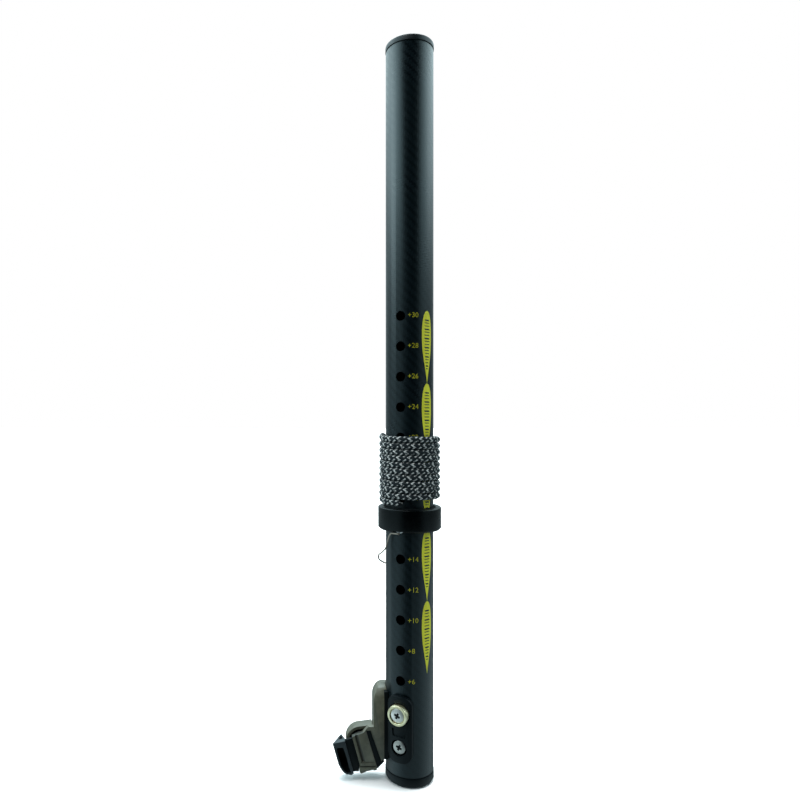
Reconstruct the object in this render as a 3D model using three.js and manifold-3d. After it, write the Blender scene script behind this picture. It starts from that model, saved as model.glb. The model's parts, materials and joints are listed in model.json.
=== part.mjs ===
// A windsurf mast extension: a carbon tube that slides into the mast's foot, with a height collar
// locked by a clip, a downhaul line wound round it, a push-button socket for the mast foot at its
// base and a downhaul pulley block with a cleat on its side.
// Millimetres, +Z up. The origin is the bottom centre of the whole object's bounding box, so the
// tube's own axis stands at x = AXIS_X, y = 0.
import * as THREE from 'three';
import { mergeVertices } from 'three/addons/utils/BufferGeometryUtils.js';
import Module from 'manifold-3d';

const wasm = await Module();
wasm.setup();

// ---------- driving dimensions ----------
const AXIS_X = 15.5; // the tube's axis, from the bounding box's centre
const GAP = 0.3; // clearance between separate pieces
const TUBE_R = 16;
const TUBE_BORE_R = 14;
const HUB_R = TUBE_BORE_R - GAP; // whatever plugs into the tube
const FLANGE_R = 16.3;
const FLANGE_H = 6.5;
const CAP_H = 4.1;
const LENGTH = 494.8; // overall
const TUBE_BOTTOM = FLANGE_H + GAP;
const TUBE_TOP = LENGTH - CAP_H - GAP;
const ROUND = 64; // sides of a large turned piece

const LOCK_ANGLE = THREE.MathUtils.degToRad(-30.2); // turns the front (-Y) to the holes and button
const HOLE_R = 3.25;
const HOLE_PITCH = 20;
const HOLE_FIRST_Z = 70; // the +6 hole
const HOLE_COUNT = 13; // +6 to +30

const SOCKET_R = 8.5; // bore for the mast foot's pin
const SOCKET_DEPTH = 58;
const HUB_TOP = 64;

const BUTTON_Z = 49.2;
const BUTTON_R = 6.75;
const BUTTON_FACE = 22; // distance of the button's face from the tube's axis
const BUTTON_BACK = 17;
const BUTTON_TRAVEL = 2.5;
const BUTTON_WELL_R = 7.2;
const BUTTON_HEAD_R = 4.65; // the screw head in the button
const STEM_R = 3.5;
const STEM_END = 13.9;
const LATCH_HALF_HEIGHT = 2.5;
const LATCH_HALF_WIDTH = 10.5;
const LATCH_SCREW_TIP = 11.9;

const PAD = { outer: 19, inner: TUBE_R + GAP, halfWidth: 8.5, bottom: 17.5, top: 60.5, corner: 6 };
const SPRING_SCREW_Z = 27.3;
const SPRING_SCREW_HEAD = { r: 4.3, face: 18.5 };
const SCREW_WELL_R = 5.4;
const RECESS_HALF_SPAN = 1.9; // of a screw's cross recess
const SCREW_HOLE_R = 2.3;
const SPRING = { inner: 16.5, outer: 17.1, halfWidth: 3, bottom: 23.3, top: 42 };
const DIP = { top: 39.4, bottom: 34.4, topHalf: 5.2, bottomHalf: 4.4, depth: 0.9 }; // in the pad's face

const COLLAR = { bottom: 168.1, top: 183.1, outer: 21.15, inner: 17.6, chamfer: 1.2 };
const COLLAR_HOLE_Z = 170; // the +16 hole, which the pin is in
const BUSH_R = TUBE_R + GAP;
const PIN_R = 3;
const PIN = { tip: 13.7, end: 17.7 };
const PIN_WAY_END = 20.5; // the collar's slot for the pin, from the tube's axis
const WIRE_R = 0.75;

const ROPE_R = 2;
const COIL = { bottom: 186.4, top: 231, inner: TUBE_R + GAP, outer: TUBE_R + GAP + 2 * ROPE_R + 0.1 };

const LEAN = Math.tan(THREE.MathUtils.degToRad(15.5)); // how far the block's ribs lean, per mm
const BLOCK_HALF_DEPTH = 7;
const CHEEK_T = 3.3;
const SLAB = { inner: -17.8, outer: -24.9, top: 62.3, crest: 60, shoulder: 53, bottom: 12.6, foot: 7.4 };
const AXLE = { x: -33.2, z: 24.2, r: 2 };
const SHEAVE_R = 7.3;
const SHEAVE_GROOVE_R = 5;
const SHEAVE_HALF = 3.1;
const GUARD_R = 9.9;
const GUARD_T = 1.9;
const GUARD_FRONT = -1.3; // the y of the guard's front edge
const AXLE_HOLE_R = AXLE.r + GAP;
const CLEAT_BACK = 4.2; // the y of the cleat's far side
const ARM_SET_BACK = 1.2; // of the cleat's arm behind the cheek's face
const THROAT_BACK = 3; // the y of the cleat's throat at its deepest, under the wedge
const WEDGE_Z = 19.5; // above this height the cleat is a wedge
const BRACKET_SCREW_Z = [42, 22];
const BRACKET_SCREW_HEAD_R = 3.3;
const BLOCK_SCREWS = [[-26.8, 30.8], [-27.6, 12.4]]; // x and z
const BLOCK_SCREW_HOLE_R = 1.6;

// ---------- finishes ----------
const finish = (color, roughness, metalness) =>
  new THREE.MeshStandardMaterial({ color, roughness, metalness });
const CARBON = finish(0x15191c, 0.35, 0.1);
const BLACK = finish(0x101214, 0.55, 0);
const RUBBER = finish(0x0b0c0d, 0.85, 0);
const OLIVE = finish(0x4d4c42, 0.5, 0.3);
const STEEL = finish(0xb9bcbd, 0.3, 1);
const BRASS = finish(0xb8a66a, 0.35, 1);
const LINE = finish(0x4a4d50, 0.95, 0);

// ---------- geometry helpers ----------
// One welded closed mesh with its faces pointing out.
function closed(geometry) {
  const bare = geometry.clone();
  bare.deleteAttribute('normal');
  bare.deleteAttribute('uv');
  const welded = mergeVertices(bare, 1e-4);
  const p = welded.attributes.position;
  const kept = [];
  let volume = 0;
  const [a, b, c] = [new THREE.Vector3(), new THREE.Vector3(), new THREE.Vector3()];
  for (let i = 0; i < welded.index.count; i += 3) {
    const t = [0, 1, 2].map((k) => welded.index.getX(i + k));
    if (new Set(t).size < 3) continue;
    kept.push(t);
    [a, b, c].forEach((v, k) => v.fromBufferAttribute(p, t[k]));
    volume += a.dot(b.cross(c));
  }
  const faces = volume < 0 ? kept.map(([i, j, k]) => [i, k, j]) : kept;
  welded.setIndex(faces.flat());
  return welded;
}

function solid(geometry) {
  const g = closed(geometry);
  return new wasm.Manifold(new wasm.Mesh({
    numProp: 3,
    vertProperties: new Float32Array(g.attributes.position.array),
    triVerts: new Uint32Array(g.index.array),
  }));
}

function fromSolid(manifold) {
  const mesh = manifold.getMesh();
  const g = new THREE.BufferGeometry();
  g.setAttribute('position', new THREE.BufferAttribute(mesh.vertProperties, 3));
  g.setIndex(new THREE.BufferAttribute(mesh.triVerts, 1));
  return closed(g);
}

const cut = (body, cutters) => cutters.reduce((left, c) => left.subtract(solid(c)), solid(body));
const join = (first, ...rest) => rest.reduce((sum, g) => sum.add(solid(g)), solid(first));

// A solid of revolution about Z from [radius, z] points.
function turned(profile, sides = ROUND) {
  const points = [...profile, profile[0]].map(([r, z]) => new THREE.Vector2(r, z));
  return new THREE.LatheGeometry(points, sides).rotateX(Math.PI / 2);
}

const ring = (inner, outer, bottom, top, sides = ROUND) =>
  turned([[inner, bottom], [outer, bottom], [outer, top], [inner, top]], sides);

// A rod that runs out along -Y, between two distances from the tube's axis.
const rodOut = (radius, from, to, z, sides = 24) =>
  new THREE.CylinderGeometry(radius, radius, to - from, sides).translate(0, -(from + to) / 2, z);

// A rod along X, between two x values.
const rodAlongX = (radius, x0, x1, z, sides = 20) =>
  new THREE.CylinderGeometry(radius, radius, x1 - x0, sides)
    .rotateZ(Math.PI / 2).translate((x0 + x1) / 2, 0, z);

// A rod along Y, between two y values.
const rodAlongY = (radius, x, z, y0, y1, sides = 24) =>
  new THREE.CylinderGeometry(radius, radius, y1 - y0, sides).translate(x, (y0 + y1) / 2, z);

const box = (x0, x1, y0, y1, z0, z1) =>
  new THREE.BoxGeometry(x1 - x0, y1 - y0, z1 - z0)
    .translate((x0 + x1) / 2, (y0 + y1) / 2, (z0 + z1) / 2);

const outline = (points) => new THREE.Shape(points.map(([x, z]) => new THREE.Vector2(x, z)));

// An outline in X and Z, extruded from y0 to y1.
function plate(shape, y0, y1, curveSegments = 10) {
  return new THREE.ExtrudeGeometry(shape, { depth: y1 - y0, bevelEnabled: false, curveSegments })
    .rotateX(Math.PI / 2).translate(0, y1, 0);
}

const turnedToLock = (geometry) => geometry.rotateZ(LOCK_ANGLE);

// A cross recess, cut into a screw head whose face is at the distance `face` from the axis.
function crossRecess(face, z, size) {
  const depth = 1;
  return [
    box(-size, size, -face - 1, -face + depth, z - size / 4, z + size / 4),
    box(-size / 4, size / 4, -face - 1, -face + depth, z - size, z + size),
  ];
}

// ---------- groups and naming ----------
const extension = new THREE.Group();
extension.position.x = AXIS_X;
const lockSide = new THREE.Group(); // pieces on the button's side, modelled facing -Y
lockSide.rotation.z = LOCK_ANGLE;
extension.add(lockSide);

function piece(name, shape, material, parent = extension) {
  const geometry = shape.isBufferGeometry ? closed(shape) : fromSolid(shape);
  const mesh = new THREE.Mesh(geometry, material);
  mesh.name = name;
  parent.add(mesh);
  return mesh;
}

// ---------- tube and its ends ----------
function tube() {
  const holes = Array.from({ length: HOLE_COUNT }, (_, i) =>
    rodOut(HOLE_R, 8, TUBE_R + 4, HOLE_FIRST_Z + i * HOLE_PITCH, 20));
  const sideHoles = [
    rodOut(BUTTON_WELL_R, 8, TUBE_R + 4, BUTTON_Z, 32),
    rodOut(SCREW_HOLE_R, 8, TUBE_R + 4, SPRING_SCREW_Z, 16),
  ];
  const bracketHoles = BRACKET_SCREW_Z.map((z) => rodAlongX(SCREW_HOLE_R, -TUBE_R - 4, -8, z, 16));
  const wall = ring(TUBE_BORE_R, TUBE_R, TUBE_BOTTOM, TUBE_TOP, 72);
  piece('carbon_tube', cut(wall, [...holes, ...sideHoles].map(turnedToLock).concat(bracketHoles)), CARBON);
}

function topCap() {
  const spigotBottom = TUBE_TOP - 20;
  const under = LENGTH - CAP_H;
  piece('top_cap', turned([
    [HUB_R, spigotBottom], [HUB_R, under], [FLANGE_R, under], [FLANGE_R, LENGTH - 1.8],
    [FLANGE_R - 0.7, LENGTH - 0.6], [FLANGE_R - 2.2, LENGTH], [0, LENGTH], [0, LENGTH - 3],
    [HUB_R - 2.2, LENGTH - 3], [HUB_R - 2.2, spigotBottom],
  ]), BLACK);
}

function baseSocket() {
  const body = turned([
    [SOCKET_R, 0], [FLANGE_R - 2.4, 0], [FLANGE_R - 0.8, 0.7], [FLANGE_R, 2.2], [FLANGE_R, FLANGE_H],
    [HUB_R, FLANGE_H], [HUB_R, HUB_TOP], [0, HUB_TOP], [0, SOCKET_DEPTH], [SOCKET_R, SOCKET_DEPTH],
  ]);
  const latchWay = LATCH_HALF_HEIGHT + GAP;
  const cutters = [
    box(-LATCH_HALF_WIDTH - GAP, LATCH_HALF_WIDTH + GAP, -20, 20, BUTTON_Z - latchWay, BUTTON_Z + latchWay),
    rodOut(STEM_R + GAP + 0.1, 9, TUBE_R, BUTTON_Z),
    rodOut(SCREW_HOLE_R, 9.5, TUBE_R, SPRING_SCREW_Z, 16),
  ].map(turnedToLock);
  const bracketHoles = BRACKET_SCREW_Z.map((z) => rodAlongX(SCREW_HOLE_R, -TUBE_R, -9.4, z, 16));
  piece('base_socket', cut(body, [...cutters, ...bracketHoles]), BLACK);
}

// ---------- push-button latch, in the lock side's group ----------
function releaseHousing() {
  const { outer, inner, halfWidth, bottom, top, corner } = PAD;
  const face = new THREE.Shape();
  face.moveTo(-halfWidth, bottom + corner);
  face.lineTo(-halfWidth, top - corner);
  face.absarc(-halfWidth + corner, top - corner, corner, Math.PI, Math.PI / 2, true);
  face.absarc(halfWidth - corner, top - corner, corner, Math.PI / 2, 0, true);
  face.lineTo(halfWidth, bottom + corner);
  face.absarc(halfWidth - corner, bottom + corner, corner, 0, -Math.PI / 2, true);
  face.absarc(-halfWidth + corner, bottom + corner, corner, -Math.PI / 2, -Math.PI, true);
  const shell = solid(ring(inner, outer, bottom - 1, top + 1, 96));
  const block = shell.intersect(solid(plate(face, -outer - 2, -inner / 2, 8)));
  const pocket = box(-3.8, 3.8, -SPRING.outer - GAP, -inner + 1, bottom + 5, BUTTON_Z);
  const { topHalf, bottomHalf } = DIP;
  const dipOutline = outline([
    [-topHalf, DIP.top], [topHalf, DIP.top], [bottomHalf, DIP.bottom], [-bottomHalf, DIP.bottom],
  ]);
  const dip = solid(ring(outer - DIP.depth, outer + 3, bottom, top, 96))
    .intersect(solid(plate(dipOutline, -outer - 4, -inner / 2)));
  const cutters = [
    rodOut(BUTTON_WELL_R, inner - 3, outer + 3, BUTTON_Z, 40),
    rodOut(SCREW_WELL_R, inner - 3, outer + 3, SPRING_SCREW_Z, 32),
    pocket,
  ];
  const body = cutters.reduce((b, c) => b.subtract(solid(c)), block.subtract(dip));
  piece('release_housing', body, BLACK, lockSide);
}

function leafSpring() {
  const { inner, outer, halfWidth, bottom, top } = SPRING;
  const strip = box(-halfWidth, halfWidth, -outer, -inner, bottom, top);
  const hole = rodOut(SCREW_HOLE_R, inner - 2, outer + 2, SPRING_SCREW_Z, 16);
  piece('leaf_spring', cut(strip, [hole]), STEEL, lockSide);
}

function springScrew() {
  const { r, face } = SPRING_SCREW_HEAD;
  const head = rodOut(r, SPRING.outer + 0.2, face, SPRING_SCREW_Z, 32);
  const shank = rodOut(2, 10, SPRING.outer + 1, SPRING_SCREW_Z, 16);
  const screw = join(shank, head);
  const recess = crossRecess(face, SPRING_SCREW_Z, RECESS_HALF_SPAN);
  piece('spring_screw', recess.reduce((s, c) => s.subtract(solid(c)), screw), STEEL, lockSide);
}

function releaseButton() {
  const edge = 0.6;
  // The head's edge is rounded off in two steps.
  const head = new THREE.LatheGeometry([
    [0, BUTTON_BACK], [BUTTON_R, BUTTON_BACK], [BUTTON_R, BUTTON_FACE - edge],
    [BUTTON_R - edge, BUTTON_FACE], [0, BUTTON_FACE],
  ].map(([r, d]) => new THREE.Vector2(r, -d)), 40).translate(0, 0, BUTTON_Z);
  const stem = rodOut(STEM_R, STEM_END, BUTTON_BACK + 0.5, BUTTON_Z);
  const recess = rodOut(BUTTON_HEAD_R + 0.25, BUTTON_FACE - 1.9, BUTTON_FACE + 1, BUTTON_Z, 32);
  const shaft = rodOut(1.6, STEM_END - 1, BUTTON_FACE, BUTTON_Z, 16);
  const body = join(head, stem).subtract(solid(recess)).subtract(solid(shaft));
  piece('release_button', body, BRASS, lockSide);
}

function buttonScrew() {
  const face = BUTTON_FACE - 0.2;
  const head = rodOut(BUTTON_HEAD_R, BUTTON_FACE - 1.6, face, BUTTON_Z, 32);
  const shank = rodOut(1.3, LATCH_SCREW_TIP, BUTTON_FACE - 1, BUTTON_Z, 16);
  const recess = crossRecess(face, BUTTON_Z, RECESS_HALF_SPAN);
  piece('button_screw', recess.reduce((s, c) => s.subtract(solid(c)), join(shank, head)), STEEL, lockSide);
}

// A plate whose hole stands off the socket's axis until the button is pressed.
function latchPlate() {
  const bottom = BUTTON_Z - LATCH_HALF_HEIGHT;
  const top = BUTTON_Z + LATCH_HALF_HEIGHT;
  const disc = () => new THREE.CylinderGeometry(HUB_R - 0.1, HUB_R - 0.1, top - bottom, ROUND)
    .rotateX(Math.PI / 2).translate(0, 0, BUTTON_Z);
  const hole = new THREE.CylinderGeometry(SOCKET_R + 0.2, SOCKET_R + 0.2, 20, ROUND)
    .rotateX(Math.PI / 2).translate(0, -BUTTON_TRAVEL, BUTTON_Z);
  const width = box(-LATCH_HALF_WIDTH, LATCH_HALF_WIDTH, -20, 20, bottom, top);
  const lens = solid(disc()).intersect(solid(disc().translate(0, -BUTTON_TRAVEL, 0)));
  const body = lens.intersect(solid(width)).subtract(solid(hole))
    .subtract(solid(rodOut(1.6, LATCH_SCREW_TIP - 0.3, 16, BUTTON_Z, 16)));
  piece('latch_plate', body, STEEL, lockSide);
}

// ---------- height collar, its line and its clip ----------
function collar() {
  const { bottom, top, outer, inner, chamfer } = COLLAR;
  const body = turned([
    [inner, bottom], [outer - chamfer, bottom], [outer, bottom + chamfer], [outer, top - 0.5],
    [outer - 0.5, top], [inner, top],
  ], 72);
  const lining = ring(BUSH_R, inner - GAP, bottom + 0.3, top + 0.5, 72);
  const way = PIN_R + GAP;
  const pinWay = [
    rodOut(way, TUBE_R - 2, PIN_WAY_END, COLLAR_HOLE_Z),
    box(-way, way, -PIN_WAY_END, -TUBE_R + 2, bottom - 2, COLLAR_HOLE_Z),
  ].map(turnedToLock);
  piece('collar_ring', cut(body, pinWay), BLACK);
  piece('collar_bush', cut(lining, pinWay), RUBBER);
}

function downhaulLine() {
  piece('rope_coil', ring(COIL.inner, COIL.outer, COIL.bottom, COIL.top, 48), LINE);
}

function lockPin() {
  piece('lock_pin', rodOut(PIN_R, PIN.tip, PIN.end, COLLAR_HOLE_Z, 28), STEEL, lockSide);
}

// The clip's spring wire: from the pin's end, round under the collar, down the tube's side to a
// finger loop and back towards the tube.
function clipWire() {
  const around = (degrees, r, z) => {
    const a = THREE.MathUtils.degToRad(degrees);
    return new THREE.Vector3(r * Math.sin(a), -r * Math.cos(a), z);
  };
  const route = [
    around(-30.2, 18.6, 167.1), around(-41, 18.1, 166.9), around(-52, 17.8, 166.3),
    new THREE.Vector3(-15.7, -9, 161.5), new THREE.Vector3(-16.8, -8.6, 157),
    new THREE.Vector3(-19.2, -8.5, 153.9), new THREE.Vector3(-21.9, -8.5, 151.6),
    new THREE.Vector3(-21.6, -8.5, 149.2), new THREE.Vector3(-19.4, -8.5, 147.4),
    new THREE.Vector3(-17.3, -8.6, 146.4),
  ];
  const section = new THREE.Shape().absarc(0, 0, WIRE_R, 0, 2 * Math.PI);
  const wire = new THREE.ExtrudeGeometry(section, {
    steps: 48, curveSegments: 8, bevelEnabled: false, extrudePath: new THREE.CatmullRomCurve3(route),
  });
  piece('clip_wire', wire, STEEL);
}

// ---------- downhaul block ----------
const leanFrom = (x, z, toZ) => [x + (z - toZ) * LEAN, toZ];
const CHEEK_EDGE_TOP = [-39.3, 29.8];
const CLEAT_EDGE_TOP = [-44.2, 27];
const FLOOR = { top: 10.4, bottom: 4.9 };

const tubeSpace = () => new THREE.CylinderGeometry(TUBE_R + GAP, TUBE_R + GAP, 200, 72)
  .rotateX(Math.PI / 2);

// A shape in Y and Z, extruded from x0 to x1.
function plateAlongX(shape, x0, x1) {
  const turn = new THREE.Matrix4().set(0, 0, 1, x0, 1, 0, 0, 0, 0, 1, 0, 0, 0, 0, 0, 1);
  return new THREE.ExtrudeGeometry(shape, { depth: x1 - x0, bevelEnabled: false }).applyMatrix4(turn);
}

// The slab against the tube, with a crest that reaches the tube and falls away towards the front, the
// near cheek that stands out from the slab, and the block's floor.
function bracket() {
  const { inner, outer, top, crest, shoulder, bottom, foot } = SLAB;
  const near = -BLOCK_HALF_DEPTH;
  const slab = new THREE.Shape();
  slab.moveTo(inner, bottom);
  slab.lineTo(inner, crest);
  slab.lineTo(-TUBE_R + 2, crest);
  slab.lineTo(-TUBE_R + 2, top);
  slab.absellipse(inner - 0.6, shoulder, inner - 0.6 - outer, top - shoulder, Math.PI / 2, Math.PI, false);
  slab.lineTo(outer, foot);
  slab.lineTo(-22.7, foot + 0.4);
  const aboveTop = outline([
    [near - 1, 55.2], [near, 56.5], [near + 1.6, 58.9], [near + 4.5, 61], [near + 9, top - 0.2],
    [near + 10, top + 5], [near - 1, top + 5],
  ]);
  const cheek = outline([
    [outer + 1, 36.5], [-28.6, 36.5], [-32, 32.5], CHEEK_EDGE_TOP,
    leanFrom(...CHEEK_EDGE_TOP, FLOOR.top), [outer + 1, FLOOR.top],
  ]);
  const floor = outline([
    [outer + 1, FLOOR.top + 0.5], leanFrom(...CHEEK_EDGE_TOP, FLOOR.top + 0.5),
    [-34.3, 6.4], [-33.4, FLOOR.bottom], [-31.3, 5.5], [-29.3, 6.6], [outer + 1, foot + 0.1],
  ]);
  const body = join(plate(slab, near, BLOCK_HALF_DEPTH), plate(cheek, near, near + CHEEK_T),
    plate(floor, near + 0.8, BLOCK_HALF_DEPTH - CHEEK_T - GAP));
  const groove = outline([
    [-30.1, 34], [-26.8, 34], [-19.7, 13.8], [-17, 15.8], [-17, foot - 2], [-22.4, foot - 2],
    [-23.1, 10.7],
  ]);
  const valley = leaningColumn([[-36.9, near - 0.2], [-35.9, near + 1.3], [-34.1, near - 0.2]], 13.1, 40);
  const fold = outline([[-33.6, 13], [-24.4, 13.3], [-24.4, 12.7], [-33.6, 12.4]]);
  const underCheek = outline([[-38, FLOOR.top], [-23.4, FLOOR.top], [-23.4, 9.4], [-38, 9.2]]);
  const cutters = [
    plateAlongX(aboveTop, -40, 0),
    tubeSpace(),
    plate(groove, near - 1, near + 1.2),
    valley,
    plate(fold, near - 1, near + 0.4),
    plate(underCheek, near - 1, near + 2),
    rodAlongY(AXLE_HOLE_R, AXLE.x, AXLE.z, near + 1.4, 0),
    ...BLOCK_SCREWS.map(([x, z]) => rodAlongY(BLOCK_SCREW_HOLE_R, x, z, near + 1.8, 0, 16)),
    ...BRACKET_SCREW_Z.flatMap((z) => [
      rodAlongX(SCREW_HOLE_R, -30, -10, z, 16), rodAlongX(BRACKET_SCREW_HEAD_R + GAP, -30, outer + 2.4, z),
    ]),
  ];
  piece('bracket', cutters.reduce((b, c) => b.subtract(solid(c)), body), OLIVE);
  const inlay = outline([
    [-29.8, 33.7], [-27.1, 33.7], [-19.9, 13.4], [-18.1, 14.6], [-18.1, 12.8], [-22.1, 8.7],
    [-22.8, 10.7],
  ]);
  piece('cheek_inlay', plate(inlay, near + 0.3, near + 0.9), RUBBER);
}

// A rubber saddle between the slab and the tube.
function bracketPad() {
  const slab = box(SLAB.inner + GAP, -10, -6.6, 6.6, SLAB.bottom + 2, SLAB.crest - GAP);
  piece('bracket_pad', cut(slab, [
    tubeSpace(), ...BRACKET_SCREW_Z.map((z) => rodAlongX(SCREW_HOLE_R, -30, -10, z, 16)),
  ]), RUBBER);
}

// The far cheek, with a rounded guard that arches over the sheave.
function sheaveGuard() {
  const right = SLAB.outer - GAP;
  const edge = (z) => leanFrom(CLEAT_EDGE_TOP[0] + GAP + 0.1, CLEAT_EDGE_TOP[1], z);
  const arc = (shape, r, clockwise) => clockwise
    ? shape.absarc(AXLE.x, AXLE.z, r, Math.PI, Math.PI / 2, true)
    : shape.absarc(AXLE.x, AXLE.z, r, Math.PI / 2, Math.PI, false);
  const cheek = new THREE.Shape();
  cheek.moveTo(right, 11);
  cheek.lineTo(...edge(11));
  cheek.lineTo(...edge(AXLE.z - 1));
  arc(cheek, GUARD_R, true);
  cheek.lineTo(right, AXLE.z + GUARD_R + 1.1);
  const arch = new THREE.Shape();
  const inside = GUARD_R - GUARD_T;
  arch.moveTo(AXLE.x - inside, AXLE.z);
  arch.lineTo(AXLE.x - GUARD_R, AXLE.z);
  arc(arch, GUARD_R, true);
  arch.lineTo(right, AXLE.z + GUARD_R + 1.1);
  arch.lineTo(right, AXLE.z + GUARD_R + 1.1 - GUARD_T);
  arch.lineTo(AXLE.x, AXLE.z + inside);
  arc(arch, inside, false);
  const far = BLOCK_HALF_DEPTH;
  const body = join(plate(cheek, far - CHEEK_T, far), plate(arch, GUARD_FRONT, far - CHEEK_T + 0.5));
  const cutters = [
    rodAlongY(AXLE_HOLE_R, AXLE.x, AXLE.z, 0, far + 1),
    ...BLOCK_SCREWS.map(([x, z]) => rodAlongY(BLOCK_SCREW_HOLE_R, x, z, 0, far + 1, 16)),
  ];
  piece('sheave_guard', cutters.reduce((b, c) => b.subtract(solid(c)), body), OLIVE);
}

function sheaveAndAxle() {
  const far = BLOCK_HALF_DEPTH;
  piece('sheave_axle', join(
    rodAlongY(AXLE.r, AXLE.x, AXLE.z, -far + 1.7, far + 0.8),
    rodAlongY(3.4, AXLE.x, AXLE.z, far + 0.3, far + 1.5),
  ), STEEL);
  const profile = [
    [3.6, -SHEAVE_HALF], [SHEAVE_R, -SHEAVE_HALF], [SHEAVE_R, -2.5], [SHEAVE_GROOVE_R + 0.5, -1],
    [SHEAVE_GROOVE_R, 0], [SHEAVE_GROOVE_R + 0.5, 1], [SHEAVE_R, 2.5], [SHEAVE_R, SHEAVE_HALF],
    [3.6, SHEAVE_HALF],
  ];
  const lathe = (points, sides) =>
    new THREE.LatheGeometry([...points, points[0]].map(([r, y]) => new THREE.Vector2(r, y)), sides)
      .translate(AXLE.x, 0, AXLE.z);
  piece('sheave', lathe(profile, 40), BLACK);
  const half = SHEAVE_HALF - 0.1;
  piece('sheave_bush', lathe([[2.05, -half], [3.3, -half], [3.3, half], [2.05, half]], 32), BRASS);
}

function blockScrews() {
  const far = BLOCK_HALF_DEPTH;
  BLOCK_SCREWS.forEach(([x, z], i) => {
    const head = rodAlongY(2.7, x, z, far + 0.3, far + 1.6);
    piece(`block_screw_${i + 1}`, join(rodAlongY(1.3, x, z, -far + 2.1, far + 0.8, 16), head), STEEL);
  });
  BRACKET_SCREW_Z.forEach((z, i) => {
    const head = rodAlongX(BRACKET_SCREW_HEAD_R, SLAB.outer + 0.2, SLAB.outer + 2.1, z);
    const screw = join(rodAlongX(2, SLAB.outer + 1, -9.8, z, 16), head);
    piece(`bracket_screw_${i + 1}`, screw, STEEL);
  });
}

// A shape in X and Y, extruded from z0 to z1 and leaning like the block's ribs.
function leaningColumn(points, z0, z1) {
  const column = new THREE.ExtrudeGeometry(outline(points), { depth: z1 - z0, bevelEnabled: false })
    .translate(0, 0, z0);
  const lean = new THREE.Matrix4().set(
    1, 0, -LEAN, CLEAT_EDGE_TOP[1] * LEAN, 0, 1, 0, 0, 0, 0, 1, 0, 0, 0, 0, 1,
  );
  return column.applyMatrix4(lean);
}

// The cleat at the block's outer end: a wedge seen from above, with a leaning throat in its front
// face and a notch in its top. Lower down it is a plain block. Its arm reaches the near cheek, and a
// tongue on the arm goes behind the cheek.
function cleat() {
  const near = -BLOCK_HALF_DEPTH;
  const edge = (z) => leanFrom(...CLEAT_EDGE_TOP, z);
  const block = outline([
    CLEAT_EDGE_TOP, [-52.4, 25.3], [-51, 20.5], [-49.8, 16.2], [-48.5, 11.6], [-47, 8.7], [-45.3, 6.4],
    [-43, 4.8], [-39.7, 4.4], edge(5.4),
  ]);
  const arm = outline([
    edge(27), leanFrom(CHEEK_EDGE_TOP[0] - GAP, CHEEK_EDGE_TOP[1], 28.4),
    leanFrom(CHEEK_EDGE_TOP[0] - GAP, CHEEK_EDGE_TOP[1], 11.2), [-34.65, 6.2], edge(6.2),
    [edge(17)[0] - 1, 17],
  ]);
  const armFoot = outline([
    [edge(11)[0] - 1, 11], leanFrom(CHEEK_EDGE_TOP[0] - GAP - 0.1, CHEEK_EDGE_TOP[1], 11), [-34.65, 6.2],
    edge(6.2),
  ]);
  const tongue = outline([
    [edge(16.2)[0] - 1, 16.2], leanFrom(CHEEK_EDGE_TOP[0] + 1.2, CHEEK_EDGE_TOP[1], 16.2),
    leanFrom(CHEEK_EDGE_TOP[0] + 1.2, CHEEK_EDGE_TOP[1], 11.2), [edge(11.2)[0] - 1, 11.2],
  ]);
  const throat = outline([
    [-49.7, 21.6], [-49.1, 22.4], [-45.7, 22.7], [-45, 21.9], [-42.9, 15.6], [-41.4, 9.6], [-39.9, 6],
    [-42.7, 5.9], [-44.2, 7], [-46.5, 9.9], [-48.1, 14.8],
  ]);
  const wedge = leaningColumn([
    [-53.6, near - 1], [-46.3, CLEAT_BACK], [-44.9, -0.7], [-43.4, -2.6], [-30, -2.6], [-30, near - 1],
  ], WEDGE_Z - 0.1, 40);
  const below = box(-60, -30, near - 1, CLEAT_BACK, 0, WEDGE_Z);
  const notch = leaningColumn([[-48.6, -2.9], [-46.5, 2.2], [-45.6, -1.6], [-45.8, -2.9]], 23.7, 40);
  const wedged = solid(plate(block, near, BLOCK_HALF_DEPTH)).intersect(join(wedge, below));
  const behindCheek = near + CHEEK_T + GAP;
  const body = wedged.add(solid(plate(arm, near + ARM_SET_BACK, near + CHEEK_T - GAP)))
    .add(solid(plate(armFoot, near + ARM_SET_BACK, BLOCK_HALF_DEPTH - CHEEK_T - GAP)))
    .add(solid(plate(tongue, behindCheek, behindCheek + 1.5)));
  const behindWedge = leaningColumn([
    [-52.3, near - 1], [-46.9, 1.1], [-45.9, -1.9], [-44.2, -3.7], [-30, -3.7], [-30, near - 1],
  ], WEDGE_Z - 1, 40);
  const behindRest = box(-60, -30, near - 1, THROAT_BACK, 0, WEDGE_Z - 1);
  const throatSpace = solid(plate(throat, near - 1, BLOCK_HALF_DEPTH))
    .intersect(join(behindWedge, behindRest));
  piece('cleat_body', body.subtract(throatSpace).subtract(solid(notch)), BLACK);
}

tube();
topCap();
baseSocket();
releaseHousing();
leafSpring();
springScrew();
releaseButton();
buttonScrew();
latchPlate();
collar();
downhaulLine();
lockPin();
clipWire();
bracket();
bracketPad();
sheaveGuard();
sheaveAndAxle();
blockScrews();
cleat();

export default extension;
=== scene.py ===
import json
import math

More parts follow.
